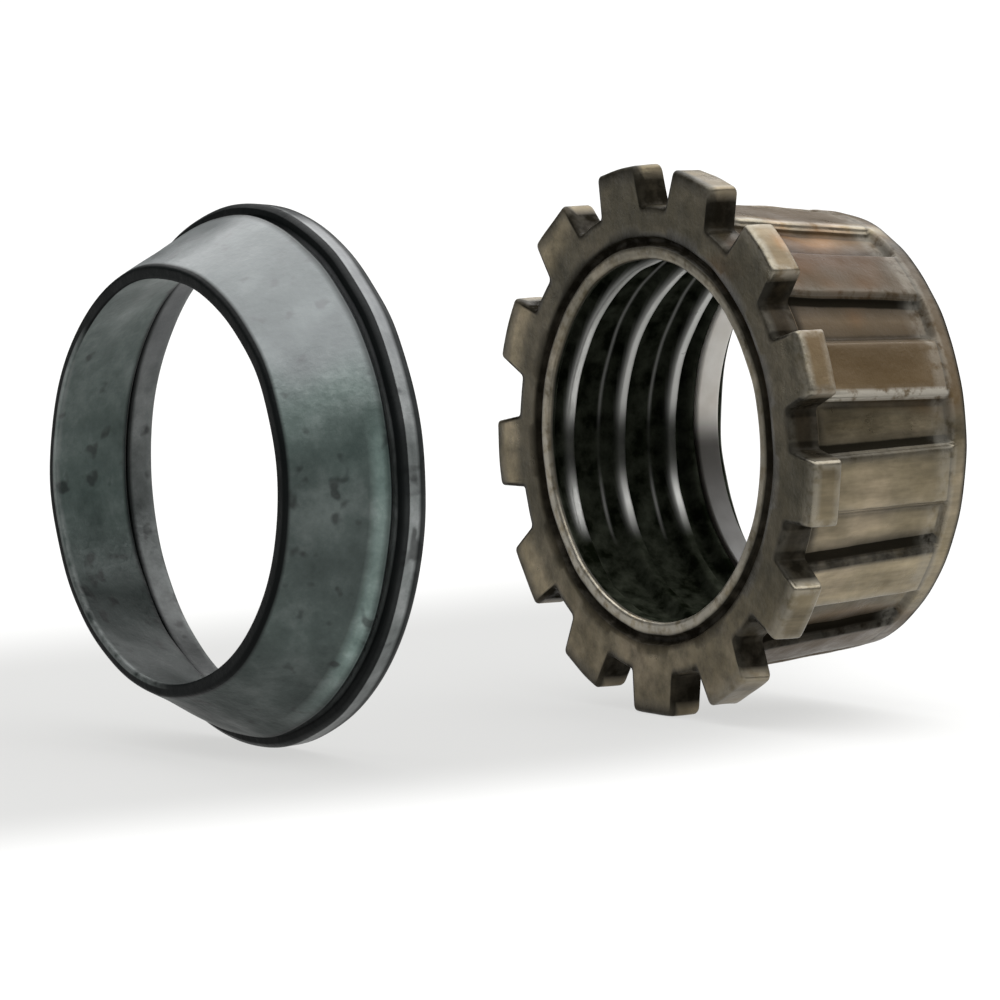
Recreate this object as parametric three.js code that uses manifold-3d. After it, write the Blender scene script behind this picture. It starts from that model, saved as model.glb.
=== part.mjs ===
// Gland nut and compression ring set of a half-inch conduit compression fitting.
// Millimetres. +X is the common axis, from the ring's small end to the nut's back.
// +Z is up and z = 0 is the surface that both loose pieces stand on, nose to tail.

import * as THREE from 'three';
import { mergeVertices } from 'three/addons/utils/BufferGeometryUtils.js';
import Module from 'manifold-3d';

// Gland nut: a tapered barrel with ribs, each ending in a lug at the mouth.
const NUT_LENGTH = 12.0;
const LUG_COUNT = 13;
const LUG_RADIUS = 14.5;
const LUG_THICKNESS = 1.8;
const LUG_WIDTH = 3.5;
const LUG_EDGE = 0.2;
const MOUTH_FLOOR_RADIUS = 12.35;
const RIB_WIDTH = 3.0;
const RIB_RADIUS_FRONT = 12.65;
const RIB_RADIUS_BACK = 11.62;
const RIB_HEIGHT = 0.5;
const RIB_END = 11.0;
const RIM_BAND_END = 11.8;
const BACK_RADIUS = 11.4;

// Mouth of the nut: a lip round the bore, set off from the face by a shallow groove.
const MOUTH_EDGE = 0.12;
const MOUTH_GROOVE_INNER = 10.25;
const MOUTH_GROOVE_OUTER = 10.75;
const MOUTH_GROOVE_SLOPE = 0.1;
const MOUTH_GROOVE_DEPTH = 0.3;

// Bore of the nut: right-hand thread, groove for the sealing ring, flared back lip.
const THREAD_CREST_RADIUS = 9.55;
const THREAD_ROOT_RADIUS = 10.2;
const THREAD_PITCH = 3.3;
const THREAD_TURNS = 2.35;
const THREAD_PHASE = 0.30;
const THREAD_START = 1.6;
const THREAD_MOUTH_WIDTH = 2.4;
const THREAD_ROOT_WIDTH = 1.4;
const GROOVE_START = 9.5;
const GROOVE_WIDTH = 1.6;
const GROOVE_RADIUS = 10.3;
const BACK_LIP_RADIUS = 9.9;
const BACK_LIP_WIDTH = 0.2;
const BACK_FLARE_RADIUS = 10.5;

// Sealing ring in the groove.
const SEAL_GAP = 0.3;
const SEAL_INNER_RADIUS = 9.4;

// Compression ring: a short cone, open at both ends.
const CONE_LENGTH = 5.0;
const CONE_SMALL_RADIUS = 11.05;
const CONE_LARGE_RADIUS = 13.45;
const CONE_SMALL_BORE = 10.35;
const CONE_LARGE_BORE = 11.4;
const CONE_EDGE = 0.15;

// Backing ring behind the cone's large end.
const SEAM = 0.3;
const BACKING_LENGTH = 1.6;
const BACKING_RADIUS = 14.0;
const BACKING_BORE = 11.75;
const BACKING_EDGE = 0.45;

// Layout of the loose pieces on the surface.
const RING_TO_NUT = 23.6;

// Facets. A multiple of the lug count, so that every lug gets the same facets.
const FACETS = LUG_COUNT * 4;
const FACET_ANGLE = 2 * Math.PI / FACETS;
const FLAT_RATIO = Math.cos(FACET_ANGLE / 2);

// The lug ends have one flat facet each, in place of a curve 0.1 mm high.
const LUG_FACETS = LUG_COUNT * 2;
const LUG_CORNER_RADIUS = LUG_RADIUS * FLAT_RATIO / Math.cos(Math.PI / LUG_FACETS);

const RING_LENGTH = CONE_LENGTH + SEAM + BACKING_LENGTH;
const TOTAL_LENGTH = RING_LENGTH + RING_TO_NUT + NUT_LENGTH;
const CONE_X = -TOTAL_LENGTH / 2;
const BACKING_X = CONE_X + CONE_LENGTH + SEAM;
const NUT_X = TOTAL_LENGTH / 2 - NUT_LENGTH;
const NUT_AXIS_Z = LUG_RADIUS * FLAT_RATIO;
const RING_AXIS_Z = BACKING_RADIUS * FLAT_RATIO;

const wasm = await Module();
wasm.setup();

// Only positions, shared between faces, with the faces pointing out.
function closed(geometry) {
  geometry.deleteAttribute('normal');
  geometry.deleteAttribute('uv');
  const merged = mergeVertices(geometry, 1e-5);
  if (signedVolume(merged) < 0) {
    const index = merged.index.array;
    for (let i = 0; i < index.length; i += 3) {
      [index[i], index[i + 1]] = [index[i + 1], index[i]];
    }
  }
  return merged;
}

function signedVolume(geometry) {
  const position = geometry.attributes.position;
  const index = geometry.index.array;
  const a = new THREE.Vector3();
  const b = new THREE.Vector3();
  const c = new THREE.Vector3();
  let volume = 0;
  for (let i = 0; i < index.length; i += 3) {
    a.fromBufferAttribute(position, index[i]);
    b.fromBufferAttribute(position, index[i + 1]);
    c.fromBufferAttribute(position, index[i + 2]);
    volume += a.dot(b.cross(c)) / 6;
  }
  return volume;
}

// The outline is a closed loop of [x, radius] pairs, turned about the X axis.
function revolve(outline, facets = FACETS) {
  const points = outline.map(([x, radius]) => new THREE.Vector2(radius, x));
  const onAxis = outline[0][1] === 0;
  if (!onAxis) {
    points.push(points[0].clone());
  }
  const geometry = new THREE.LatheGeometry(points, facets, Math.PI / facets, 2 * Math.PI);
  geometry.rotateZ(-Math.PI / 2);
  return closed(geometry);
}

function toSolid(geometry) {
  return new wasm.Manifold(new wasm.Mesh({
    numProp: 3,
    vertProperties: new Float32Array(geometry.attributes.position.array),
    triVerts: new Uint32Array(geometry.index.array),
  }));
}

function toGeometry(solid) {
  const mesh = solid.getMesh();
  const geometry = new THREE.BufferGeometry();
  geometry.setAttribute('position', new THREE.BufferAttribute(mesh.vertProperties, 3));
  geometry.setIndex(new THREE.BufferAttribute(mesh.triVerts, 1));
  return geometry;
}

// A crown of straight bars round the axis, one of them pointing straight down.
function crown(width, length) {
  const inner = GROOVE_RADIUS + 0.3;
  const outer = LUG_RADIUS + 1;
  let bars = null;
  for (let i = 0; i < LUG_COUNT; i += 1) {
    const bar = new THREE.BoxGeometry(length, width, outer - inner);
    bar.translate(length / 2, 0, -(outer + inner) / 2);
    bar.rotateX(i * 2 * Math.PI / LUG_COUNT);
    const solid = toSolid(closed(bar));
    bars = bars ? bars.add(solid) : solid;
  }
  return bars;
}

// A band with a trapezoid section that climbs along the axis as it turns.
function threadGroove() {
  const cutRadius = THREAD_CREST_RADIUS - 0.4;
  const section = [
    [-THREAD_MOUTH_WIDTH / 2, cutRadius],
    [-THREAD_MOUTH_WIDTH / 2, THREAD_CREST_RADIUS - 0.02],
    [-THREAD_ROOT_WIDTH / 2, THREAD_ROOT_RADIUS],
    [THREAD_ROOT_WIDTH / 2, THREAD_ROOT_RADIUS],
    [THREAD_MOUTH_WIDTH / 2, THREAD_CREST_RADIUS - 0.02],
    [THREAD_MOUTH_WIDTH / 2, cutRadius],
  ];
  const firstStep = Math.round(FACETS * THREAD_PHASE);
  const steps = Math.round(FACETS * THREAD_TURNS);
  const sides = section.length;
  const positions = [];
  const index = [];
  for (let step = 0; step <= steps; step += 1) {
    const angle = (step + 0.5 + firstStep) * FACET_ANGLE;
    const shift = THREAD_START + THREAD_PITCH * step / FACETS;
    for (const [x, radius] of section) {
      positions.push(x + shift, -radius * Math.sin(angle), radius * Math.cos(angle));
    }
  }
  for (let step = 0; step < steps; step += 1) {
    for (let side = 0; side < sides; side += 1) {
      const a = step * sides + side;
      const b = step * sides + (side + 1) % sides;
      index.push(a, b, a + sides, b, b + sides, a + sides);
    }
  }
  const last = steps * sides;
  for (let side = 1; side < sides - 1; side += 1) {
    index.push(0, side + 1, side);
    index.push(last, last + side, last + side + 1);
  }
  const geometry = new THREE.BufferGeometry();
  geometry.setAttribute('position', new THREE.Float32BufferAttribute(positions, 3));
  geometry.setIndex(index);
  return closed(geometry);
}

// Radius of the rib tops at a distance along the barrel.
function ribRadius(x) {
  const share = (x - LUG_THICKNESS) / (RIM_BAND_END - LUG_THICKNESS);
  return RIB_RADIUS_FRONT + (RIB_RADIUS_BACK - RIB_RADIUS_FRONT) * share;
}

function gland_nut() {
  const lugBand = toSolid(revolve([
    [0, 0],
    [0, LUG_CORNER_RADIUS - LUG_EDGE],
    [LUG_EDGE, LUG_CORNER_RADIUS],
    [LUG_THICKNESS, LUG_CORNER_RADIUS],
    [LUG_THICKNESS, 0],
  ], LUG_FACETS));
  const ribBand = toSolid(revolve([
    [0, 0],
    [0, RIB_RADIUS_FRONT],
    [LUG_THICKNESS, RIB_RADIUS_FRONT],
    [RIM_BAND_END, RIB_RADIUS_BACK],
    [NUT_LENGTH, BACK_RADIUS],
    [NUT_LENGTH, 0],
  ]));
  const floor = toSolid(revolve([
    [0, 0],
    [0, MOUTH_FLOOR_RADIUS],
    [LUG_THICKNESS, RIB_RADIUS_FRONT - RIB_HEIGHT],
    [RIB_END, ribRadius(RIB_END) - RIB_HEIGHT],
    [RIB_END, RIB_RADIUS_BACK + RIB_HEIGHT],
    [NUT_LENGTH, RIB_RADIUS_BACK + RIB_HEIGHT],
    [NUT_LENGTH, 0],
  ]));
  const grooveEnd = GROOVE_START + GROOVE_WIDTH;
  const bore = toSolid(revolve([
    [-1, 0],
    [-1, THREAD_CREST_RADIUS + MOUTH_EDGE],
    [0, THREAD_CREST_RADIUS + MOUTH_EDGE],
    [MOUTH_EDGE, THREAD_CREST_RADIUS],
    [GROOVE_START, THREAD_CREST_RADIUS],
    [GROOVE_START, GROOVE_RADIUS],
    [grooveEnd, GROOVE_RADIUS],
    [grooveEnd, BACK_LIP_RADIUS],
    [grooveEnd + BACK_LIP_WIDTH, BACK_LIP_RADIUS],
    [NUT_LENGTH, BACK_FLARE_RADIUS],
    [NUT_LENGTH + 1, BACK_FLARE_RADIUS],
    [NUT_LENGTH + 1, 0],
  ]));
  const mouthGroove = toSolid(revolve([
    [-1, MOUTH_GROOVE_INNER],
    [0, MOUTH_GROOVE_INNER],
    [MOUTH_GROOVE_DEPTH, MOUTH_GROOVE_INNER + MOUTH_GROOVE_SLOPE],
    [MOUTH_GROOVE_DEPTH, MOUTH_GROOVE_OUTER - MOUTH_GROOVE_SLOPE],
    [0, MOUTH_GROOVE_OUTER],
    [-1, MOUTH_GROOVE_OUTER],
  ]));
  const lugs = crown(LUG_WIDTH, LUG_THICKNESS).intersect(lugBand);
  const ribs = crown(RIB_WIDTH, RIB_END + 0.2);
  const outside = floor.add(ribs).intersect(ribBand).add(lugs);
  const threaded = outside.subtract(bore).subtract(toSolid(threadGroove()));
  return toGeometry(threaded.subtract(mouthGroove));
}

function sealing_ring() {
  const start = GROOVE_START + SEAL_GAP;
  const end = GROOVE_START + GROOVE_WIDTH - SEAL_GAP;
  const outer = GROOVE_RADIUS - SEAL_GAP;
  return revolve([
    [start, SEAL_INNER_RADIUS],
    [start, outer],
    [end, outer],
    [end, SEAL_INNER_RADIUS],
  ]);
}

function compression_ring() {
  const slope = (CONE_LARGE_RADIUS - CONE_SMALL_RADIUS) / CONE_LENGTH;
  return revolve([
    [0, CONE_SMALL_BORE],
    [0, CONE_SMALL_RADIUS - CONE_EDGE],
    [CONE_EDGE, CONE_SMALL_RADIUS + slope * CONE_EDGE],
    [CONE_LENGTH, CONE_LARGE_RADIUS],
    [CONE_LENGTH, CONE_LARGE_BORE],
  ]);
}

function backing_ring() {
  return revolve([
    [0, BACKING_BORE],
    [0, BACKING_RADIUS - BACKING_EDGE],
    [BACKING_EDGE, BACKING_RADIUS],
    [BACKING_LENGTH - BACKING_EDGE, BACKING_RADIUS],
    [BACKING_LENGTH, BACKING_RADIUS - BACKING_EDGE],
    [BACKING_LENGTH, BACKING_BORE],
  ]);
}

const bronze = { color: 0x5b4f42, roughness: 0.45, metalness: 0.85 };
const zinc = { color: 0x66726e, roughness: 0.5, metalness: 0.8 };
const paleZinc = { color: 0x7b827f, roughness: 0.45, metalness: 0.8 };
const nylon = { color: 0xcbbdb2, roughness: 0.5, metalness: 0 };

const fitting = new THREE.Group();

function place(name, geometry, finish, x, z) {
  const mesh = new THREE.Mesh(geometry, new THREE.MeshStandardMaterial(finish));
  mesh.name = name;
  mesh.position.set(x, 0, z);
  fitting.add(mesh);
}

place('gland_nut', gland_nut(), bronze, NUT_X, NUT_AXIS_Z);
place('sealing_ring', sealing_ring(), nylon, NUT_X, NUT_AXIS_Z);
place('compression_ring', compression_ring(), zinc, CONE_X, RING_AXIS_Z);
place('backing_ring', backing_ring(), paleZinc, BACKING_X, RING_AXIS_Z);

export default fitting;
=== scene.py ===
"""Looks of the gland nut and compression ring set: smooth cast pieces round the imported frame.

Lengths are named in millimetres and turned to metres by MM. The nut and the rings are each one
closed grid of points, rows along the axis by columns round it, wrapped both ways.
"""

import math

import bpy
import numpy as np
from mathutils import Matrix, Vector


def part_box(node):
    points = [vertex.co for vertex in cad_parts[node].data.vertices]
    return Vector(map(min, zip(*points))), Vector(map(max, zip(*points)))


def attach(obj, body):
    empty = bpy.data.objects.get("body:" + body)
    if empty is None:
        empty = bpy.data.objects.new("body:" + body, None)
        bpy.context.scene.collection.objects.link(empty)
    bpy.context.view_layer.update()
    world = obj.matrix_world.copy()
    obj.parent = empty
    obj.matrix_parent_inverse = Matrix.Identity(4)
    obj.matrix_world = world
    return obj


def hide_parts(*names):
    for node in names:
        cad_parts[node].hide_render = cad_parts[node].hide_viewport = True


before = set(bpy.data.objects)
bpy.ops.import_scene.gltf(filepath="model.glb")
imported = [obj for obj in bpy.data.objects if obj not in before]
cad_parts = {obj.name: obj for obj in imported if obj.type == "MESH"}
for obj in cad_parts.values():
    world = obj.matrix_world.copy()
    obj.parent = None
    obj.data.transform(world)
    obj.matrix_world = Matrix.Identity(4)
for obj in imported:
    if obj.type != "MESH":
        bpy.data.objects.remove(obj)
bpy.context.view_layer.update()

MM = 0.001

nut_low, nut_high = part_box("gland_nut")
cone_low, cone_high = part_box("compression_ring")
backing_low, backing_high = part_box("backing_ring")
seal_low, seal_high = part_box("sealing_ring")

NUT_X = nut_low.x / MM
NUT_LENGTH = (nut_high.x - nut_low.x) / MM
NUT_AXIS_Z = (seal_low.z + seal_high.z) / 2 / MM
RING_AXIS_Z = (backing_low.z + backing_high.z) / 2 / MM

# Outside of the nut.
LUG_COUNT = 13
LUG_RADIUS = NUT_AXIS_Z
LUG_THICKNESS = 1.8
LUG_HALF_WIDTH = 1.75
MOUTH_FLOOR_RADIUS = 12.35
RIB_HALF_WIDTH = 1.5
RIB_RADIUS_FRONT = 12.65
RIB_RADIUS_BACK = 11.62
RIB_HEIGHT = 0.5
RIB_END = 11.0
RIM_BAND_START = 9.7
RIM_BAND_END = 11.78
CAST_EDGE = 0.22
WALL_DRAFT = 0.14
FLOOR_FILLET = 0.25

# Inside of the nut, with the lip and groove round its mouth.
MOUTH_GROOVE_INNER = 10.25
MOUTH_GROOVE_OUTER = 10.75
MOUTH_GROOVE_DEPTH = 0.3
CREST_RADIUS = 9.55
ROOT_RADIUS = 10.2
PITCH = 3.3
CREST_PHASE = 0.682
GROOVE_START = 9.5
GROOVE_END = 11.1
GROOVE_RADIUS = 10.3
BACK_LIP_RADIUS = 9.9
BACK_FLARE_RADIUS = 10.5

# Rings.
CONE_SMALL_RADIUS = 11.05
CONE_LARGE_RADIUS = 13.45
CONE_SMALL_BORE = 10.35
CONE_LARGE_BORE = 11.4
BACKING_BORE = 11.75

# Painted light and shade on each skin round the axis, as (degrees, lightness): the colour is made lighter or
# darker by which way each part faces. The nut's degrees start straight down and the rings' straight up.
# Both grow towards -Y.
BARREL_PAINTED_LIGHT = [
    (-180, 0.35), (-150, 0.6), (-120, 0.6), (-40, 0.5), (15, 0.3), (38, 0.36), (48, 1.15),
    (58, 1.4), (72, 1.0), (90, 0.84), (99, 0.9), (104, 0.42), (120, 0.34), (138, 0.22),
    (149, 0.13), (153, 0.3), (157, 1.0), (161, 0.25), (180, 0.35),
]
LUG_END_PAINTED_LIGHT = [
    (20, 0.8), (60, 0.95), (90, 0.75), (115, 0.55), (140, 0.7), (180, 0.8),
]
CONE_OUTER_PAINTED_LIGHT = [
    (0, 0.9), (30, 0.95), (58, 1.2), (72, 1.0), (86, 0.62), (100, 0.5), (125, 0.75),
    (155, 0.35), (185, 0.25), (270, 0.5), (330, 0.8), (360, 0.9),
]
CONE_INNER_PAINTED_LIGHT = [
    (0, 0.9), (60, 0.6), (120, 0.3), (180, 0.12), (232, 0.2), (262, 0.95), (300, 0.95),
    (360, 0.9),
]
BACKING_OUTER_PAINTED_LIGHT = [
    (0, 0.12), (12, 0.2), (24, 0.85), (60, 0.95), (110, 1.2), (160, 0.6), (200, 0.3),
    (290, 0.5), (325, 0.12), (360, 0.12),
]
BACKING_INNER_PAINTED_LIGHT = [
    (0, 0.9), (90, 0.6), (150, 0.15), (215, 0.2), (245, 0.8), (360, 0.9),
]


def by_turn(turn, table):
    """Values between the (degrees, value) pairs of a table."""
    degrees, values = zip(*table)
    return np.interp(turn, degrees, values)


def smoothstep(value):
    value = np.clip(value, 0.0, 1.0)
    return value * value * (3 - 2 * value)


# ---------------------------------------------------------------- grids to meshes

def grid_mesh(name, points, layers):
    """A closed mesh from points[row, column], wrapped both ways, with float layers of the same grid."""
    rows, columns = points.shape[:2]
    index = np.arange(rows * columns).reshape(rows, columns)
    ahead = np.roll(index, -1, axis=0)
    faces = np.stack([index, ahead, np.roll(ahead, -1, axis=1), np.roll(index, -1, axis=1)], axis=-1)
    mesh = bpy.data.meshes.new(name)
    mesh.from_pydata((points.reshape(-1, 3) * MM).tolist(), [], faces.reshape(-1, 4).tolist())
    for layer, values in layers.items():
        attribute = mesh.attributes.new(layer, "FLOAT", "POINT")
        spread = np.broadcast_to(values, (rows, columns))
        attribute.data.foreach_set("value", spread.astype(np.float32).ravel())
    mesh.polygons.foreach_set("use_smooth", [True] * len(mesh.polygons))
    piece = bpy.data.objects.new(name, mesh)
    bpy.context.scene.collection.objects.link(piece)
    return piece


def soft_noise(points, size, seed):
    """Smooth noise from a few plane waves in fixed directions, about -1 to 1, with features of that size."""
    rng = np.random.default_rng(seed)
    total = np.zeros(points.shape[:-1])
    waves = 14
    for _ in range(waves):
        direction = rng.normal(size=3)
        direction *= 2 * math.pi / (size * rng.uniform(0.7, 1.6) * np.linalg.norm(direction))
        total += np.sin(points @ direction + rng.uniform(0, 2 * math.pi))
    return total / math.sqrt(waves / 2) / 1.6


# ---------------------------------------------------------------- gland nut

def half_section():
    """Steps across half a rib and half a valley: kind and share along that kind."""
    steps = [("top", share) for share in np.linspace(0, 1, 6)[:-1]]
    steps += [("round", share) for share in np.linspace(0, 1, 5)]
    steps += [("wall", share) for share in (0.33, 0.67)]
    steps += [("fillet", share) for share in np.linspace(0, 1, 5)]
    steps += [("floor", share) for share in np.linspace(0, 1, 7)[1:]]
    return steps


def castle_half(top, floor, half_width, crown):
    """(across, out) of each step of half a rib and half a valley. crown 1 is a round top, 0 a flat one."""
    height = top - floor
    edge = min(CAST_EDGE, height * 0.45)
    fillet = min(FLOOR_FILLET, height * 0.45)
    half_pitch = math.pi / LUG_COUNT

    def top_out(across):
        return top - crown * (top - math.sqrt(top * top - across * across))

    def floor_out(across):
        return math.sqrt(floor * floor - across * across)

    foot = half_width + WALL_DRAFT
    foot_end = foot + FLOOR_FILLET
    end_angle = math.atan2(foot_end, floor_out(foot_end))
    half = []
    for kind, share in half_section():
        turn = share * math.pi / 2
        if kind == "top":
            across = share * (half_width - CAST_EDGE)
            out = top_out(across)
        elif kind == "round":
            across = half_width - CAST_EDGE * (1 - math.sin(turn))
            out = top_out(across) - edge * (1 - math.cos(turn))
        elif kind == "wall":
            across = half_width + WALL_DRAFT * share
            high = top_out(half_width) - edge
            low = floor_out(foot) + fillet
            out = high + (low - high) * share
        elif kind == "fillet":
            across = foot + FLOOR_FILLET * (1 - math.cos(turn))
            out = floor_out(across) + fillet * (1 - math.sin(turn))
        else:
            angle = end_angle + (half_pitch - end_angle) * share
            across = floor * math.sin(angle)
            out = floor * math.cos(angle)
        half.append((across, out))
    return half


def castle_section(top, floor, half_width, crown):
    """One closed section of the outside, as (y, z) about the axis, starting at the lowest lug's middle."""
    half = castle_half(top, floor, half_width, crown)
    whole = half[:-1] + [(None, None)] + [(-a, o) for a, o in half[:0:-1][1:]]
    pitch = 2 * math.pi / LUG_COUNT
    section = []
    for lug in range(LUG_COUNT):
        for across, out in whole:
            if across is None:
                across, out = half[-1]
                turn = lug * pitch
            elif across < 0:
                turn = (lug + 1) * pitch
            else:
                turn = lug * pitch
            y = across * math.cos(turn) + out * math.sin(turn)
            z = across * math.sin(turn) - out * math.cos(turn)
            section.append((y, z))
    return np.array(section)


def column_marks():
    """Per column of one section: 1 on rib edges and corners, lightened for rubbing and painted highlight, 1
    in the fillets, darkened for dirt and painted shade.
    """
    wear_and_sheen, dirt_and_shade = [], []
    for kind, share in half_section():
        wear_and_sheen.append({"round": 1.0, "top": 0.25 * (share > 0.7), "wall": 0.4}.get(kind, 0.0))
        dirt_and_shade.append({"fillet": 1.0, "wall": 0.5, "floor": 0.55 * (1 - share) + 0.001}.get(kind, 0.0))
    def around(half):
        whole = half[:-1] + [half[-1]] + half[:0:-1][1:]
        return np.array(whole * LUG_COUNT)
    return around(wear_and_sheen), around(dirt_and_shade)


def lug_notch_shade(edge_mark, recess_mark):
    """Painted shade between the lugs: full on their walls and in the corners, less on the notch floors."""
    walls = smoothstep((recess_mark - 0.3) / 0.15)
    return np.maximum(walls, 0.88 * (recess_mark > 0) * (edge_mark == 0))


def rib_side_light():
    """Per column, how strong the painted highlight and the painted shadow are on the nearer side of its rib.
    The sides differ round the barrel.
    """
    half = len(half_section())
    wear_and_sheen, dirt_and_shade = [], []
    upper = {11: (0.1, 1.7), 12: (0.1, 1.7), 10: (0.1, 1.3), 9: (0.0, 0.7), 8: (0.0, 0.8)}
    lower = {11: (0.4, 0.8), 12: (0.4, 0.8), 10: (0.1, 0.45), 9: (1.5, 0.8), 8: (0.2, 1.2), 7: (0.45, 0.8)}
    for lug in range(LUG_COUNT):
        own = lower.get(lug, (0.3, 1.0))
        following = upper.get((lug + 1) % LUG_COUNT, (0.3, 1.0))
        wear_and_sheen += [own[0]] * half + [following[0]] * (half - 2)
        dirt_and_shade += [own[1]] * half + [following[1]] * (half - 2)
    return np.array(wear_and_sheen), np.array(dirt_and_shade)


def outside_rows():
    """Rows from the mouth face to the back face: x, top, floor, half width, crown, rubbing and painted
    highlight, dirt and painted shade.
    """
    rows = []
    edge = CAST_EDGE
    for turn in np.linspace(0, math.pi / 2, 5):
        inset = edge * (1 - math.sin(turn))
        rows.append((edge * (1 - math.cos(turn)), LUG_RADIUS - inset, MOUTH_FLOOR_RADIUS - inset * 0.6,
                     LUG_HALF_WIDTH - inset * 0.6, 0.75, 0.9, 0.0))
    for x in np.linspace(edge, LUG_THICKNESS - edge, 5)[1:-1]:
        rows.append((x, LUG_RADIUS, MOUTH_FLOOR_RADIUS, LUG_HALF_WIDTH, 0.75, 0.0, 0.0))
    step_floor = RIB_RADIUS_FRONT - RIB_HEIGHT
    for turn in np.linspace(0, math.pi / 2, 5):
        inset = edge * (1 - math.cos(turn))
        rows.append((LUG_THICKNESS - edge + edge * math.sin(turn), LUG_RADIUS - inset,
                     MOUTH_FLOOR_RADIUS - 0.04, LUG_HALF_WIDTH, 0.75, 0.7, 0.0))
    for share in (0.3, 0.6, 0.85):
        x = LUG_THICKNESS + 0.05 * share
        top = LUG_RADIUS - edge + (RIB_RADIUS_FRONT + edge - LUG_RADIUS + edge) * share
        width = LUG_HALF_WIDTH + (RIB_HALF_WIDTH - LUG_HALF_WIDTH) * share
        rows.append((x, top, MOUTH_FLOOR_RADIUS - 0.05, width, 0.75, 0.0, 0.5 * share))
    for turn in np.linspace(0, math.pi / 2, 5):
        up = edge * (1 - math.sin(turn))
        x = LUG_THICKNESS + 0.05 + edge * (1 - math.cos(turn))
        rows.append((x, RIB_RADIUS_FRONT + up, step_floor, RIB_HALF_WIDTH, 0.6, 0.0, 0.8))
    slope = (RIB_RADIUS_BACK - RIB_RADIUS_FRONT) / (RIM_BAND_END - LUG_THICKNESS)
    first = LUG_THICKNESS + 0.05 + edge
    for x in np.linspace(first, RIB_END - 0.3, 20)[1:]:
        top = RIB_RADIUS_FRONT + slope * (x - LUG_THICKNESS)
        band = 0.3 * float(smoothstep((x - RIM_BAND_START) / 0.3))
        rows.append((x, top, top - RIB_HEIGHT, RIB_HALF_WIDTH, 0.6, band, 0.0))
    for share in np.linspace(0, 1, 6)[1:]:
        x = RIB_END - 0.3 + 0.4 * share
        top = RIB_RADIUS_FRONT + slope * (x - LUG_THICKNESS)
        height = RIB_HEIGHT * (1 - smoothstep(share))
        dirt_and_shade = 0.8 * (1 - share)
        rows.append((x, top, top - height - 0.004, RIB_HALF_WIDTH, 0.6 + 0.4 * share, 0.3, dirt_and_shade))
    for x in np.linspace(RIB_END + 0.1, RIM_BAND_END, 5)[1:]:
        top = RIB_RADIUS_FRONT + slope * (x - LUG_THICKNESS)
        rows.append((x, top, top - 0.004, RIB_HALF_WIDTH, 1.0, 0.1, 0.7 * (x > RIM_BAND_END - 0.1)))
    # The back edge's rounding is darkened all round: painted shade where it turns away.
    edge = NUT_LENGTH - RIM_BAND_END
    for turn in np.linspace(0, math.pi / 2, 6)[1:]:
        x = RIM_BAND_END + edge * math.sin(turn)
        top = RIB_RADIUS_BACK - edge * (1 - math.cos(turn))
        rows.append((x, top, top - 0.004, RIB_HALF_WIDTH, 1.0, 0.0, 1.0))
    return rows


def bore_rows():
    """Rows of the bore from the back face to the mouth: x, radius or None for the thread, rubbing and painted
    highlight, dirt and painted shade.
    """
    rows = [(NUT_LENGTH, BACK_FLARE_RADIUS + 0.1, 0.3, 0.0), (NUT_LENGTH - 0.06, BACK_FLARE_RADIUS, 0.3, 0.0)]
    lip = GROOVE_END + 0.2
    for share in (0.25, 0.5, 0.75, 0.95):
        x = NUT_LENGTH - 0.06 + (lip - NUT_LENGTH + 0.06) * share
        rows.append((x, BACK_FLARE_RADIUS + (BACK_LIP_RADIUS - BACK_FLARE_RADIUS) * share, 0.0, 0.1))
    rows += [(lip - 0.05, BACK_LIP_RADIUS, 0.0, 0.3), (GROOVE_END + 0.05, BACK_LIP_RADIUS, 0.0, 0.4)]
    # The seal groove is darkened: painted shade in the recess.
    rows += [(GROOVE_END, BACK_LIP_RADIUS + 0.05, 0.0, 0.6)]
    rows += [(GROOVE_END - 0.02, GROOVE_RADIUS - 0.1, 0.0, 1.0)]
    rows += [(GROOVE_END - 0.1, GROOVE_RADIUS, 0.0, 1.0), (GROOVE_START + 0.1, GROOVE_RADIUS, 0.0, 1.0)]
    rows += [(GROOVE_START + 0.02, GROOVE_RADIUS - 0.1, 0.0, 1.0)]
    rows += [(GROOVE_START, CREST_RADIUS + 0.08, 0.0, 1.0)]
    rows += [(GROOVE_START - 0.08, CREST_RADIUS, 0.0, 0.8)]
    rows += [(x, None, 0.0, 0.0) for x in np.linspace(GROOVE_START - 0.2, 0.4, 110)]
    # Round the mouth the chamfer and lip are lighter, a painted reflection, and the groove behind them is
    # darkened, painted shade in the recess.
    rows += [(0.28, CREST_RADIUS, 0.0, 0.4), (0.16, CREST_RADIUS, 0.2, 0.0)]
    rows += [(0.08, CREST_RADIUS + 0.03, 0.6, 0.0)]
    rows += [(0.03, CREST_RADIUS + 0.08, 1.0, 0.0), (0.0, CREST_RADIUS + 0.16, 1.0, 0.0)]
    rows += [(0.0, radius, 1.0, 0.0) for radius in (9.8, 9.9, 10.0)]
    rows += [(0.0, MOUTH_GROOVE_INNER - 0.12, 0.6, 0.2), (0.03, MOUTH_GROOVE_INNER, 0.0, 1.0)]
    rows += [(MOUTH_GROOVE_DEPTH - 0.06, MOUTH_GROOVE_INNER + 0.06, 0.0, 1.0)]
    rows += [(MOUTH_GROOVE_DEPTH, radius, 0.0, 1.0) for radius in (10.38, 10.5, 10.62)]
    rows += [(MOUTH_GROOVE_DEPTH - 0.06, MOUTH_GROOVE_OUTER - 0.06, 0.0, 1.0)]
    rows += [(0.05, MOUTH_GROOVE_OUTER, 0.0, 1.0), (0.0, MOUTH_GROOVE_OUTER + 0.06, 0.0, 0.9)]
    return rows


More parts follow.
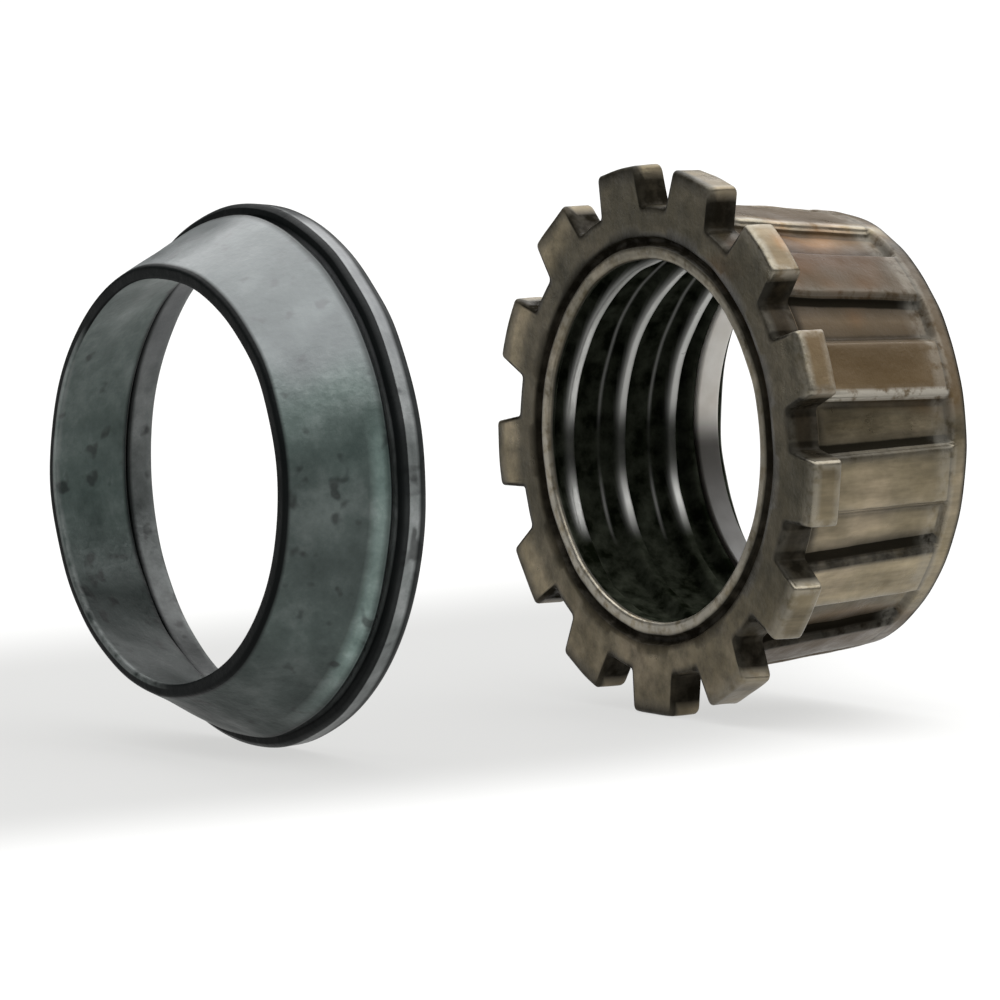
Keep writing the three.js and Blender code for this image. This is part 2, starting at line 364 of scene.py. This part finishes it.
def thread_radius(x, angle):
    """Radius of the right-hand inside thread, and how near the point is to the middle of a crest."""
    turns = x / PITCH - angle / (2 * math.pi)
    past_crest = (turns - CREST_PHASE) % 1.0
    from_crest = np.minimum(past_crest, 1 - past_crest) * PITCH
    depth = smoothstep((from_crest - 0.2) / 0.5)
    fade = smoothstep((x - 0.35) / 0.5) * smoothstep((GROOVE_START - 0.25 - x) / 0.5)
    radius = CREST_RADIUS + (ROOT_RADIUS - CREST_RADIUS) * depth * fade
    # A faint second light line in each root: painted highlight.
    root_highlight = 0.3 * (1 - smoothstep(np.abs(past_crest - 0.68) * PITCH / 0.16))
    return radius, np.maximum((1 - smoothstep((from_crest - 0.08) / 0.36)) * fade, root_highlight * fade)


def lip_reflection(angle):
    """How bright the painted reflection on the lip round the mouth is: most at the lower left, seen from the
    mouth.
    """
    return 0.35 + 0.65 * smoothstep((0.35 - np.cos(angle - 0.35)) / 1.2)


def crest_highlight(angle):
    """How bright the painted highlights on the crests are round the bore: dull at the bottom and in a band
    near the middle.
    """
    height = np.cos(angle)
    dull_bottom = smoothstep((height + 0.64) / 0.22)
    dull_middle = 1 - 0.92 * np.exp(-((height + 0.13) / 0.19) ** 4)
    return dull_bottom * dull_middle


def make_gland_nut():
    edge_mark, recess_mark = column_marks()
    points, wear_and_sheen, dirt_and_shade, inside = [], [], [], []
    rib_sheen, rib_shadow = rib_side_light()
    for x, top, floor, half_width, crown, row_wear_and_sheen, row_dirt_and_shade in outside_rows():
        section = castle_section(top, floor, half_width, crown)
        points.append(np.column_stack([np.full(len(section), x), section]))
        strength = min(1.0, (top - floor) / RIB_HEIGHT)
        if x <= LUG_THICKNESS:
            # On the lugs the edges are lighter towards the right, a painted highlight, and the front rounding
            # at the left is darkened. The notches get painted shade.
            right = smoothstep((-section[:, 0] - 2.0) / 8.0)
            front = float(x < CAST_EDGE)
            corners = np.where(edge_mark < 0.5, 0.0, edge_mark)
            notch = lug_notch_shade(edge_mark, recess_mark)
            wear_and_sheen.append(np.maximum(corners, row_wear_and_sheen * (1 - 0.85 * notch)) * (0.05 + 0.4 * right))
            dirt_and_shade.append(np.maximum(notch, 0.9 * front * (1 - right)))
        else:
            # On the ribs, the lighter and darker sides are painted highlights and painted shadows, set rib by
            # rib.
            rib_edge_sheen = edge_mark * np.where(edge_mark > 0.3, rib_sheen, np.minimum(rib_sheen, 0.3))
            wear_and_sheen.append(np.maximum(rib_edge_sheen * strength, row_wear_and_sheen))
            rib_edge_shadow = smoothstep((rib_shadow - 1.1) / 0.3) * smoothstep((edge_mark - 0.2) / 0.2)
            dirt_and_shade.append(np.maximum(np.maximum(recess_mark * rib_shadow, rib_edge_shadow) * strength, row_dirt_and_shade))
        inside.append(np.zeros(len(section)))
    reference = castle_section(MOUTH_FLOOR_RADIUS + 0.5, MOUTH_FLOOR_RADIUS, RIB_HALF_WIDTH, 1.0)
    angle = np.unwrap(np.arctan2(-reference[:, 0], reference[:, 1]))
    count = len(angle)

    def ring(x, radius):
        return np.column_stack([np.full(count, x), -radius * np.sin(angle), radius * np.cos(angle)])

    bore = bore_rows()
    back_edge = points[-1]
    for share in (0.35, 0.7):
        blend = back_edge * (1 - share) + ring(NUT_LENGTH, bore[0][1]) * share
        points.append(blend)
        wear_and_sheen.append(np.full(count, 0.1))
        dirt_and_shade.append(np.zeros(count))
        inside.append(np.zeros(count))
    for x, radius, row_wear_and_sheen, row_dirt_and_shade in bore:
        if radius is None:
            radius, crest = thread_radius(x, angle)
            # Thread crests are lighter, painted highlights, dull at the bottom and in a band. Flanks and
            # roots are darkened, painted shade.
            wear_and_sheen.append(crest * crest_highlight(angle))
            dirt_and_shade.append(1 - crest)
        elif x <= MOUTH_GROOVE_DEPTH:
            wear_and_sheen.append(row_wear_and_sheen * lip_reflection(angle))
            dirt_and_shade.append(np.full(count, row_dirt_and_shade))
        else:
            wear_and_sheen.append(np.full(count, row_wear_and_sheen))
            dirt_and_shade.append(np.full(count, row_dirt_and_shade))
        points.append(ring(x, radius))
        on_wall = radius <= CREST_RADIUS if np.isscalar(radius) else True
        inside.append(np.full(count, float(smoothstep((x - 0.12) / 0.1)) if on_wall or x > 1 else 0.0))
    mouth_edge = points[-1]
    front_edge = points[0]
    for share in (0.2, 0.4, 0.6, 0.8):
        points.append(mouth_edge * (1 - share) + front_edge * share)
        wear_and_sheen.append(np.zeros(count))
        dirt_and_shade.append(np.full(count, 0.15))
        inside.append(np.zeros(count))
    points = np.array(points)
    points = rough_cast(points, 0.035, 3.0, 11)
    wear_and_sheen = np.array(wear_and_sheen)
    inside = np.array(inside)
    # An orange-brown patch on the upper barrel, outside the bore.
    tint = ragged_patch(points, (5.5, -6.5, 10.0), 3.2) * (1 - inside)
    # Painted shade on the mouth face: darker towards the top, less on the lighter edges and on the lug faces
    # at the left, which also get painted light.
    on_face = 1 - smoothstep((points[..., 0] - 0.05) / 0.35)
    shade = on_face * (0.25 + 0.75 * smoothstep((points[..., 2] + 11.5) / 7.0)) * (1 - 0.9 * wear_and_sheen)
    out = np.hypot(points[..., 1], points[..., 2])
    lit_left_lugs = smoothstep((out - 12.4) / 0.7) * smoothstep((points[..., 1] - 5.0) / 5.0)
    shade = shade * (1 - 0.75 * lit_left_lugs)
    layers = {"wear_and_sheen": wear_and_sheen, "dirt_and_shade": np.array(dirt_and_shade), "inside": inside, "tint": tint, "shade": shade,
              "painted_light_and_tarnish": barrel_painted_light(points) * (1 + 0.45 * lit_left_lugs * on_face)}
    points += [NUT_X, 0, NUT_AXIS_Z]
    return grid_mesh("nut_body", points, layers)


def barrel_painted_light(points):
    """Painted light and shade on the barrel's skin round the axis: brown and dull above, light below, dark
    underneath.
    """
    turn = np.degrees(np.arctan2(-points[..., 1], -points[..., 2]))
    turn = turn + 2.5 * soft_noise(points, 5.0, 17)
    light = by_turn(turn, BARREL_PAINTED_LIGHT)
    ends = by_turn(turn, LUG_END_PAINTED_LIGHT)
    x = points[..., 0]
    on_barrel = smoothstep((x - LUG_THICKNESS + 0.1) / 0.3)
    on_ends = smoothstep((x - 0.1) / 0.2) * (1 - on_barrel)
    return 1 + (light - 1) * on_barrel + (ends - 1) * on_ends


def ragged_patch(points, centre, size):
    """1 in the middle of a ragged patch about a point, 0 outside it."""
    far = np.linalg.norm((points - np.array(centre)) / (1.6, 1.0, 1.0), axis=-1) / size
    return 1 - smoothstep(far + 0.35 * soft_noise(points, 2.5, 7) - 0.2)


def rough_cast(points, amount, size, seed):
    """Small lasting unevenness of a casting: each point moves out or in a little from the axis."""
    out = points.copy()
    radial = points[..., 1:]
    length = np.linalg.norm(radial, axis=-1, keepdims=True)
    shift = amount * soft_noise(points, size, seed)[..., None]
    out[..., 1:] = radial * (1 + shift / length)
    return out


# ---------------------------------------------------------------- rings

def lathe_piece(name, outline, marks, columns, origin, roughness, seed, light_and_marks=None):
    """A ring from a closed outline of (x, radius), with marks for each point: rubbing and painted highlight,
    dirt and painted shade, and inside.
    """
    angle = np.linspace(0, 2 * math.pi, columns, endpoint=False)
    outline = np.array(outline)
    points = np.empty((len(outline), columns, 3))
    points[..., 0] = outline[:, :1]
    points[..., 1] = -outline[:, 1:] * np.sin(angle)
    points[..., 2] = outline[:, 1:] * np.cos(angle)
    points = rough_cast(points, roughness, 4.0, seed)
    marks = np.array(marks, float)
    layers = {key: marks[:, i:i + 1] for i, key in enumerate(("wear_and_sheen", "dirt_and_shade", "inside"))}
    # The lower half of each ring is marked for painted shade. Only the sealing ring's material uses it.
    layers["low"] = smoothstep((0.1 - np.cos(angle)) / 0.26)[None, :]
    if light_and_marks:
        layers.update(light_and_marks(points, np.degrees(angle)[None, :], layers))
    points += origin
    return grid_mesh(name, points, layers)


def zinc_light_and_marks(points, turn, layers):
    """Painted light and shade on a ring: a light, neutral painted highlight on top, dull green below it, and
    dark low down inside.
    """
    ragged = turn + 9 * soft_noise(points, 6.0, 19)
    outer = by_turn(ragged, CONE_OUTER_PAINTED_LIGHT)
    inner = by_turn(turn, CONE_INNER_PAINTED_LIGHT)
    inside = layers["inside"]
    light = outer * (1 - inside) + inner * inside
    # A lighter strip on the right near the large end: painted highlight.
    right = smoothstep((turn - 68) / 22) * smoothstep((165 - turn) / 30)
    light = light * (1 + 2.4 * right * (1 - inside) * smoothstep((points[..., 0] - 3.9) / 0.4))
    # Lighter, neutral grey on top: painted highlight.
    pale_top_sheen = smoothstep((74 - np.minimum(ragged, 360 - ragged)) / 22) * (1 - inside)
    # On the small end, the rim's inner edge stays lighter only where it is lit, a painted highlight, and the
    # end face is near black elsewhere, painted shade.
    lit_rim = smoothstep((turn - 175) / 20) * smoothstep((318 - turn) / 20)
    wear_and_sheen = layers["wear_and_sheen"] * np.where(points[..., 0] < 0.3, lit_rim, 1.0)
    dirt_and_shade = np.where(points[..., 0] < 0.12, np.maximum(layers["dirt_and_shade"], 1.1 * (1 - lit_rim)), layers["dirt_and_shade"])
    return {"painted_light_and_tarnish": light, "pale_top_sheen": pale_top_sheen, "wear_and_sheen": wear_and_sheen, "dirt_and_shade": dirt_and_shade}


def backing_light_and_marks(points, turn, layers):
    """Painted light and shade on the backing ring: near black at the top and upper left, light on the right,
    dark low down inside.
    """
    outer = by_turn(turn, BACKING_OUTER_PAINTED_LIGHT)
    inner = by_turn(turn, BACKING_INNER_PAINTED_LIGHT)
    inside = layers["inside"]
    pale_top_sheen = smoothstep((80 - np.minimum(turn, 360 - turn)) / 30)
    return {"painted_light_and_tarnish": outer * (1 - inside) + inner * inside, "pale_top_sheen": pale_top_sheen}


def rounded_outline(corners, step):
    """A closed outline through (x, radius, edge radius, rubbing and painted highlight, dirt and painted
    shade, inside) corners, with round edges.
    """
    outline, marks = [], []
    count = len(corners)
    for i, (x, r, edge, *mark) in enumerate(corners):
        here = np.array([x, r])
        before = np.array(corners[i - 1][:2]) - here
        after = np.array(corners[(i + 1) % count][:2]) - here
        start = here + before / np.linalg.norm(before) * edge
        end = here + after / np.linalg.norm(after) * edge
        for t in np.linspace(0, 1, 7):
            outline.append((1 - t) ** 2 * start + 2 * t * (1 - t) * here + t ** 2 * end)
            marks.append(mark)
        next_edge = corners[(i + 1) % count][2]
        reach = np.linalg.norm(after) - edge - next_edge
        pieces = max(1, int(reach / step))
        side_mark = [0.0, 0.0, mark[2] * corners[(i + 1) % count][5]]
        for t in np.linspace(0, 1, pieces + 1)[1:-1]:
            outline.append(end + after / np.linalg.norm(after) * reach * t)
            marks.append(side_mark)
    return outline, marks


def make_compression_ring():
    length = (cone_high.x - cone_low.x) / MM
    corners = [
        (0, CONE_SMALL_BORE, 0.14, 0.9, 0.0, 1.0),
        (0, CONE_SMALL_BORE + 0.24, 0.03, 0.7, 0.0, 0.0),
        (0, CONE_SMALL_BORE + 0.34, 0.02, 0.0, 1.25, 0.0),
        (0, CONE_SMALL_RADIUS - 0.03, 0.16, 0.0, 1.25, 0.0),
        (length - 0.16, CONE_LARGE_RADIUS - 0.07, 0.04, 0.0, 0.6, 0.0),
        (length, CONE_LARGE_RADIUS - 0.03, 0.08, 0.0, 1.02, 0.0),
        (length, CONE_LARGE_BORE, 0.12, 0.0, 0.9, 1.0),
    ]
    outline, marks = rounded_outline(corners, 0.25)
    origin = [cone_low.x / MM, 0, RING_AXIS_Z]
    return lathe_piece("cone_body", outline, marks, 288, origin, 0.05, 23, zinc_light_and_marks)


def make_backing_ring():
    length = (backing_high.x - backing_low.x) / MM
    corners = [
        (0, BACKING_BORE, 0.12, 0.0, 0.9, 1.0),
        (0, RING_AXIS_Z - 0.5, 0.03, 0.0, 1.02, 0.0),
        (0.04, RING_AXIS_Z - 0.22, 0.05, 0.0, 1.02, 0.0),
        (0.26, RING_AXIS_Z - 0.03, 0.1, 0.0, 0.95, 0.0),
        (0.38, RING_AXIS_Z, 0.05, 0.6, 0.0, 0.0),
        (length, RING_AXIS_Z - 0.08, 0.5, 0.0, 0.95, 0.0),
        (length, BACKING_BORE + 0.1, 0.2, 0.6, 0.0, 1.0),
    ]
    outline, marks = rounded_outline(corners, 0.2)
    origin = [backing_low.x / MM, 0, RING_AXIS_Z]
    return lathe_piece("backing_body", outline, marks, 288, origin, 0.03, 31, backing_light_and_marks)


def make_sealing_ring():
    margin = 0.2
    start = seal_low.x / MM - NUT_X - margin
    end = seal_high.x / MM - NUT_X + margin
    outer = 10.15
    inner = 9.4
    corners = [
        (start, inner, 0.15, 0.3, 0.0, 1.0),
        (start, outer, 0.1, 0.0, 0.6, 1.0),
        (end, outer, 0.1, 0.0, 0.6, 1.0),
        (end, inner, 0.15, 0.3, 0.0, 1.0),
    ]
    outline, marks = rounded_outline(corners, 0.2)
    return lathe_piece("seal_body", outline, marks, 192, [NUT_X, 0, NUT_AXIS_Z], 0.01, 41)


# ---------------------------------------------------------------- materials

def new_material(name):
    material = bpy.data.materials.new(name)
    material.use_nodes = True
    tree = material.node_tree
    tree.nodes.clear()
    shader = tree.nodes.new("ShaderNodeBsdfPrincipled")
    output = tree.nodes.new("ShaderNodeOutputMaterial")
    tree.links.new(shader.outputs["BSDF"], output.inputs["Surface"])
    return material, tree, shader


def noise_node(tree, scale, detail, roughness, stretch=(1, 1, 1)):
    """Noise in the row's own metres. stretch above 1 makes finer marks along that axis."""
    place = tree.nodes.new("ShaderNodeTexCoord")
    mapping = tree.nodes.new("ShaderNodeMapping")
    mapping.inputs["Scale"].default_value = stretch
    texture = tree.nodes.new("ShaderNodeTexNoise")
    texture.inputs["Scale"].default_value = scale
    texture.inputs["Detail"].default_value = detail
    texture.inputs["Roughness"].default_value = roughness
    tree.links.new(place.outputs["Object"], mapping.inputs["Vector"])
    tree.links.new(mapping.outputs["Vector"], texture.inputs["Vector"])
    return texture.outputs["Fac"]


def ramp(tree, value, stops):
    """A colour or grey ramp through (position, colour) stops."""
    node = tree.nodes.new("ShaderNodeValToRGB")
    elements = node.color_ramp.elements
    while len(elements) < len(stops):
        elements.new(0.5)
    for element, (position, colour) in zip(elements, stops):
        element.position = position
        element.color = (*colour, 1) if len(colour) == 3 else colour
    tree.links.new(value, node.inputs["Fac"])
    return node.outputs["Color"]


def fade(tree, value, start, end):
    """0 at start and 1 at end, smooth between."""
    node = tree.nodes.new("ShaderNodeMapRange")
    node.interpolation_type = "SMOOTHSTEP"
    node.inputs["From Min"].default_value = start
    node.inputs["From Max"].default_value = end
    tree.links.new(value, node.inputs["Value"])
    return node.outputs["Result"]


def grey(value):
    return (value, value, value)


def mix(tree, factor, first, second, blend="MIX"):
    node = tree.nodes.new("ShaderNodeMix")
    node.data_type = "RGBA"
    node.blend_type = blend
    for socket, value in ((0, factor), (6, first), (7, second)):
        if hasattr(value, "links") or isinstance(value, bpy.types.NodeSocket):
            tree.links.new(value, node.inputs[socket])
        elif socket == 0:
            node.inputs[0].default_value = value
        else:
            node.inputs[socket].default_value = (*value, 1)
    return node.outputs[2]


def times(tree, first, second):
    node = tree.nodes.new("ShaderNodeMath")
    node.operation = "MULTIPLY"
    node.use_clamp = True
    for socket, value in enumerate((first, second)):
        if isinstance(value, bpy.types.NodeSocket):
            tree.links.new(value, node.inputs[socket])
        else:
            node.inputs[socket].default_value = value
    return node.outputs[0]


def layer(tree, name):
    node = tree.nodes.new("ShaderNodeAttribute")
    node.attribute_name = name
    return node.outputs["Fac"]


def bump(tree, height, strength, distance, below=None):
    node = tree.nodes.new("ShaderNodeBump")
    node.inputs["Strength"].default_value = strength
    node.inputs["Distance"].default_value = distance
    tree.links.new(height, node.inputs["Height"])
    if below is not None:
        tree.links.new(below, node.inputs["Normal"])
    return node.outputs["Normal"]


def bronze_material():
    material, tree, shader = new_material("bronze_cast")
    patches = noise_node(tree, 240, 4, 0.6)
    bronze = [(0.30, (0.13, 0.105, 0.062)), (0.5, (0.20, 0.165, 0.105)), (0.70, (0.30, 0.245, 0.165))]
    colour = ramp(tree, patches, bronze)
    streaks = noise_node(tree, 900, 4, 0.65, (0.12, 1, 1))
    colour = mix(tree, 0.75, colour, ramp(tree, streaks, [(0.32, grey(0.4)), (0.62, grey(1.15))]), "MULTIPLY")
    # Painted light and shade round the barrel. Where it is darkest, the colour is also browner and less
    # metallic, a tarnish.
    brown = fade(tree, layer(tree, "painted_light_and_tarnish"), 0.85, 0.45)
    colour = mix(tree, times(tree, brown, 0.82), colour, (0.20, 0.125, 0.052))
    colour = mix(tree, times(tree, layer(tree, "tint"), 0.8), colour, (0.34, 0.15, 0.035))
    colour = mix(tree, 1.0, colour, layer(tree, "painted_light_and_tarnish"), "MULTIPLY")
    # Painted shade on the mouth face, darker towards the top.
    colour = mix(tree, times(tree, layer(tree, "shade"), 0.72), colour, (0.022, 0.021, 0.012))
    # Near black in hollows and along dark edges: dirt and painted shade.
    uneven = ramp(tree, noise_node(tree, 900, 3, 0.6), [(0.3, grey(0.86)), (0.6, grey(1.0))])
    dirt_and_shade = times(tree, layer(tree, "dirt_and_shade"), uneven)
    colour = mix(tree, times(tree, dirt_and_shade, 0.98), colour, (0.008, 0.007, 0.005))
    # Light grey on edges: rubbed metal and painted highlights.
    chipped = ramp(tree, noise_node(tree, 1500, 3, 0.6), [(0.34, grey(0.1)), (0.54, grey(1.0))])
    pale_marks = times(tree, layer(tree, "wear_and_sheen"), chipped)
    colour = mix(tree, times(tree, pale_marks, 0.7), colour, (0.40, 0.38, 0.33))
    # Inside the bore: near black, painted shade, with light grey crests as painted highlights.
    bore_shade_stops = [(0.38, (0.003, 0.004, 0.002)), (0.66, (0.026, 0.029, 0.021))]
    bore_shade = ramp(tree, noise_node(tree, 800, 4, 0.6), bore_shade_stops)
    dark = mix(tree, layer(tree, "wear_and_sheen"), bore_shade, (0.52, 0.52, 0.50))
    colour = mix(tree, layer(tree, "inside"), colour, dark)
    tree.links.new(colour, shader.inputs["Base Color"])
    shaded_bore = mix(tree, layer(tree, "wear_and_sheen"), layer(tree, "inside"), grey(0.0))
    matt = mix(tree, 1.0, shaded_bore, dirt_and_shade, "LIGHTEN")
    metal = mix(tree, brown, grey(0.85), grey(0.12))
    tree.links.new(mix(tree, matt, metal, grey(0.0)), shader.inputs["Metallic"])
    gloss = mix(tree, brown, grey(0.4), grey(0.12))
    tree.links.new(mix(tree, matt, gloss, grey(0.0)), shader.inputs["Specular IOR Level"])
    rough = ramp(tree, noise_node(tree, 700, 4, 0.6), [(0.3, grey(0.26)), (0.7, grey(0.46))])
    tree.links.new(rough, shader.inputs["Roughness"])
    grain = bump(tree, noise_node(tree, 4200, 3, 0.6), 0.3, 0.00006)
    dents = bump(tree, noise_node(tree, 420, 2, 0.5), 0.5, 0.00018, grain)
    tree.links.new(dents, shader.inputs["Normal"])
    return material


def zinc_material(name, dark, mid, light, mottle):
    material, tree, shader = new_material(name)
    patches = noise_node(tree, 330, 6, 0.68)
    colour = ramp(tree, patches, [(0.32, dark), (0.5, mid), (0.68, light)])
    spots = ramp(tree, noise_node(tree, 700, 2, 0.5), [(0.30, grey(mottle)), (0.38, grey(1.0))])
    colour = mix(tree, 1.0, colour, spots, "MULTIPLY")
    # Lighter, neutral grey on top: painted highlight.
    colour = mix(tree, times(tree, layer(tree, "pale_top_sheen"), 0.65), colour, (0.125, 0.128, 0.134))
    # Painted light and shade round the ring.
    colour = mix(tree, 1.0, colour, layer(tree, "painted_light_and_tarnish"), "MULTIPLY")
    # Near black at dark edges and rims: dirt and painted shade.
    dirt_and_shade = times(tree, layer(tree, "dirt_and_shade"), 0.97)
    colour = mix(tree, dirt_and_shade, colour, (0.004, 0.005, 0.005))
    # Light grey on edges: rubbed metal and painted highlights.
    chipped = ramp(tree, noise_node(tree, 1200, 3, 0.6), [(0.35, grey(0.1)), (0.6, grey(1.0))])
    pale_marks = times(tree, layer(tree, "wear_and_sheen"), chipped)
    colour = mix(tree, times(tree, pale_marks, 0.5), colour, (0.22, 0.235, 0.23))
    tree.links.new(colour, shader.inputs["Base Color"])
    dull = fade(tree, layer(tree, "painted_light_and_tarnish"), 0.7, 0.2)
    matt = mix(tree, 1.0, dull, dirt_and_shade, "LIGHTEN")
    tree.links.new(mix(tree, matt, grey(0.3), grey(0.0)), shader.inputs["Metallic"])
    tree.links.new(mix(tree, matt, grey(0.5), grey(0.05)), shader.inputs["Specular IOR Level"])
    rough = ramp(tree, noise_node(tree, 500, 4, 0.6), [(0.3, grey(0.30)), (0.7, grey(0.46))])
    tree.links.new(rough, shader.inputs["Roughness"])
    grain = bump(tree, noise_node(tree, 3600, 3, 0.6), 0.3, 0.00006)
    dents = bump(tree, noise_node(tree, 380, 3, 0.5), 0.5, 0.0002, grain)
    tree.links.new(dents, shader.inputs["Normal"])
    return material


def nylon_material():
    material, tree, shader = new_material("nylon")
    colour = ramp(tree, noise_node(tree, 500, 3, 0.5), [(0.3, (0.62, 0.58, 0.52)), (0.7, (0.80, 0.77, 0.72))])
    # The lower half of the sealing ring is near black: painted shade.
    colour = mix(tree, times(tree, layer(tree, "low"), 0.96), colour, (0.016, 0.013, 0.009))
    colour = mix(tree, times(tree, layer(tree, "dirt_and_shade"), 0.6), colour, (0.1, 0.08, 0.06))
    tree.links.new(colour, shader.inputs["Base Color"])
    rough = ramp(tree, noise_node(tree, 900, 2, 0.5), [(0.3, grey(0.4)), (0.7, grey(0.55))])
    tree.links.new(rough, shader.inputs["Roughness"])
    tree.links.new(bump(tree, noise_node(tree, 2500, 2, 0.5), 0.2, 0.00004), shader.inputs["Normal"])
    return material


def dress(piece, material, body, node):
    piece.data.materials.append(material)
    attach(piece, body)
    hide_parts(node)


dress(make_gland_nut(), bronze_material(), "nut", "gland_nut")
dress(make_sealing_ring(), nylon_material(), "nut", "sealing_ring")
cone_zinc = zinc_material("zinc_cone", (0.040, 0.060, 0.054), (0.078, 0.106, 0.097),
                          (0.15, 0.182, 0.172), 0.35)
dress(make_compression_ring(), cone_zinc, "cone", "compression_ring")
backing_zinc = zinc_material("zinc_backing", (0.06, 0.067, 0.065), (0.13, 0.142, 0.139),
                             (0.24, 0.252, 0.25), 0.3)
dress(make_backing_ring(), backing_zinc, "backing", "backing_ring")


# ---------------------------------------------------------------- floor, light and camera

# The floor glows like a lit sheet, with a painted shadow under the set, greyer, that fades out to the right,
# and in front and behind along a slant. Metres, across and away from the view.
POOL_TURN = 35.27
POOL_RIGHT = (0.026, 0.004)
POOL_FRONT = (-0.040, -0.012)
POOL_BACK = (0.090, 0.050)
FLOOR_GLOW = 0.62


def make_floor():
    half = 4.0
    mesh = bpy.data.meshes.new("floor")
    corners = [(-half, -half, 0), (half, -half, 0), (half, half, 0), (-half, half, 0)]
    mesh.from_pydata(corners, [], [(0, 1, 2, 3)])
    floor = bpy.data.objects.new("floor", mesh)
    bpy.context.scene.collection.objects.link(floor)
    material, tree, shader = new_material("floor_lightbox")
    place = tree.nodes.new("ShaderNodeTexCoord")
    turned = tree.nodes.new("ShaderNodeMapping")
    turned.inputs["Rotation"].default_value = (0, 0, math.radians(POOL_TURN))
    split = tree.nodes.new("ShaderNodeSeparateXYZ")
    tree.links.new(place.outputs["Object"], turned.inputs["Vector"])
    tree.links.new(turned.outputs["Vector"], split.inputs["Vector"])
    slant = tree.nodes.new("ShaderNodeMath")
    slant.operation = "SUBTRACT"
    tree.links.new(split.outputs["Y"], slant.inputs[0])
    tree.links.new(split.outputs["X"], slant.inputs[1])
    shadow_pool = fade(tree, split.outputs["X"], *POOL_RIGHT)
    shadow_pool = times(tree, shadow_pool, fade(tree, slant.outputs[0], *POOL_FRONT))
    shadow_pool = times(tree, shadow_pool, fade(tree, slant.outputs[0], *POOL_BACK))
    paper = ramp(tree, noise_node(tree, 6, 2, 0.5), [(0.3, grey(0.21)), (0.7, grey(0.23))])
    tree.links.new(mix(tree, shadow_pool, paper, grey(0.06)), shader.inputs["Base Color"])
    shader.inputs["Emission Color"].default_value = (1.0, 1.0, 0.985, 1)
    shader.inputs["Emission Strength"].default_value = FLOOR_GLOW
    shader.inputs["Roughness"].default_value = 0.9
    shader.inputs["Specular IOR Level"].default_value = 0.1
    mesh.materials.append(material)


def sun(name, towards, strength, angle, colour=(1, 1, 1)):
    """A far, wide light that falls from the side that `towards` points at."""
    data = bpy.data.lights.new(name, "SUN")
    data.energy = strength
    data.angle = math.radians(angle)
    data.color = colour
    light = bpy.data.objects.new(name, data)
    light.rotation_mode = "QUATERNION"
    light.rotation_quaternion = Vector(towards).to_track_quat("Z", "Y")
    bpy.context.scene.collection.objects.link(light)


def make_world():
    """White behind the object; what lights and mirrors in it is a room, dark at eye level and light above."""
    world = bpy.data.worlds.new("studio")
    bpy.context.scene.world = world
    world.use_nodes = True
    tree = world.node_tree
    tree.nodes.clear()
    place = tree.nodes.new("ShaderNodeTexCoord")
    split = tree.nodes.new("ShaderNodeSeparateXYZ")
    tree.links.new(place.outputs["Generated"], split.inputs["Vector"])
    floor_to_ceiling = [(0.0, grey(0.03)), (0.25, grey(0.06)), (0.5, grey(0.4)), (1.0, grey(1.2))]
    room = ramp(tree, split.outputs["Z"], floor_to_ceiling)
    paths = tree.nodes.new("ShaderNodeLightPath")
    seen = mix(tree, paths.outputs["Is Camera Ray"], room, (1, 1, 1))
    background = tree.nodes.new("ShaderNodeBackground")
    output = tree.nodes.new("ShaderNodeOutputWorld")
    tree.links.new(seen, background.inputs["Color"])
    background.inputs["Strength"].default_value = 1.0
    tree.links.new(background.outputs["Background"], output.inputs["Surface"])


CAMERA_AZIMUTH = -35.27
CAMERA_ELEVATION = 5.24
CAMERA_DISTANCE = 0.630
CAMERA_LENS = 432.0
AIM_LEFT = 8.0
AIM_DOWN = 3.11


def make_camera():
    """Looks from the mouth side, low and from far off, with the nut's mouth right of the middle."""
    a = math.radians(CAMERA_AZIMUTH)
    e = math.radians(CAMERA_ELEVATION)
    back = Vector((math.sin(a) * math.cos(e), -math.cos(a) * math.cos(e), math.sin(e)))
    right = Vector((math.cos(a), math.sin(a), 0))
    up = back.cross(right)
    mouth = Vector((nut_low.x, 0, NUT_AXIS_Z * MM))
    place = mouth + back * CAMERA_DISTANCE
    target = mouth - right * AIM_LEFT * MM - up * AIM_DOWN * MM
    data = bpy.data.cameras.new("camera")
    data.lens = CAMERA_LENS
    data.sensor_width = 36.0
    data.clip_start = 0.01
    data.clip_end = 50.0
    camera = bpy.data.objects.new("camera", data)
    camera.location = place
    camera.rotation_mode = "QUATERNION"
    camera.rotation_quaternion = (target - place).to_track_quat("-Z", "Y")
    bpy.context.scene.collection.objects.link(camera)
    bpy.context.scene.camera = camera


make_floor()
make_world()
sun("overhead", (0.2, 0.05, 1.0), 5.0, 110)
make_camera()
bpy.context.scene.view_settings.view_transform = "Standard"
